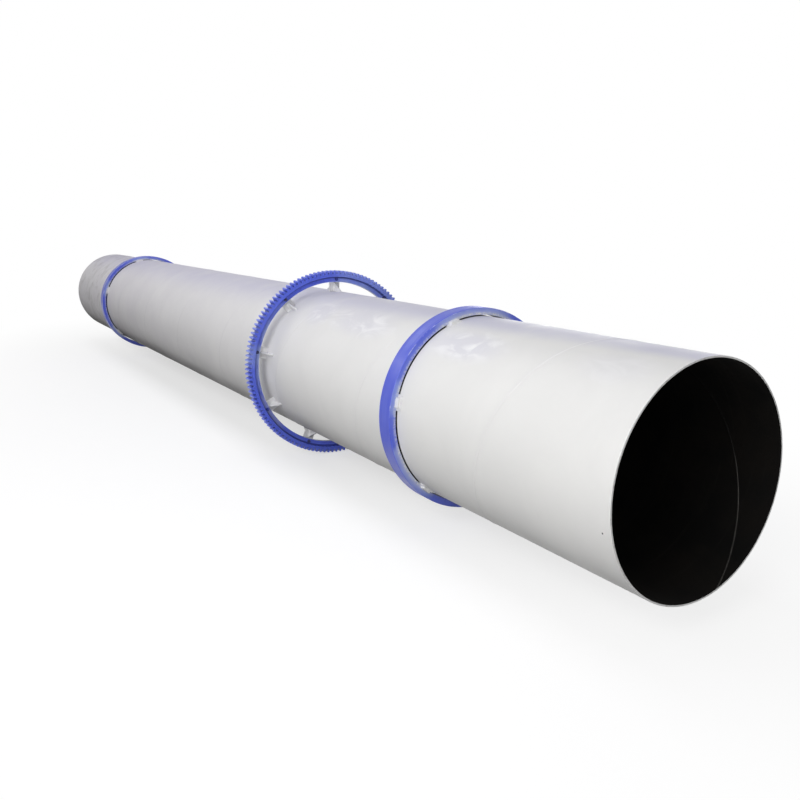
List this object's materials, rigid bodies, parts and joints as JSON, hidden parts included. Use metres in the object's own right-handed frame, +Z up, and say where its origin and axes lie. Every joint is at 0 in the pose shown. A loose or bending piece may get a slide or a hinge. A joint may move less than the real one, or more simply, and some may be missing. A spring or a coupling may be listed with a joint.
{
  "type": "rotary drum cooler drum",
  "caption": "Long steel drum of a rotary cooler, open at both ends, with riding rings and a toothed girth gear carried on welded brackets.",
  "frame": {"origin": "on the drum axis, in the middle plane of the near riding ring", "axes": "+X along the drum axis towards the near open end, +Z up"},
  "size_m": [12, 1.572, 1.5719],
  "materials": {
    "shell_paint": "semi-matt off-white paint on spiral-welded steel, greyer and dusty underneath, bare dark scale inside",
    "ring_paint": "satin blue paint, thinner on the rolling track",
    "gear_paint": "satin blue paint, darker in the tooth roots",
    "bracket_paint": "semi-matt off-white paint on cut plate, with weld beads"
  },
  "bodies": {
    "root": {"drum_shell": "shell_paint", "near_riding_ring": "ring_paint", "far_riding_ring": "ring_paint", "near_ring_pad_1": "bracket_paint", "near_ring_pad_2": "bracket_paint", "near_ring_pad_3": "bracket_paint", "near_ring_pad_4": "bracket_paint", "near_ring_pad_5": "bracket_paint", "near_ring_pad_6": "bracket_paint", "far_ring_pad_1": "bracket_paint", "far_ring_pad_2": "bracket_paint", "far_ring_pad_3": "bracket_paint", "far_ring_pad_4": "bracket_paint", "far_ring_pad_5": "bracket_paint", "far_ring_pad_6": "bracket_paint", "girth_gear": "gear_paint", "gear_bracket_1": "bracket_paint", "gear_bracket_2": "bracket_paint", "gear_bracket_3": "bracket_paint", "gear_bracket_4": "bracket_paint", "gear_bracket_5": "bracket_paint", "gear_bracket_6": "bracket_paint", "gear_bracket_7": "bracket_paint", "gear_bracket_8": "bracket_paint", "gear_bracket_9": "bracket_paint"}
  },
  "joints": []
}
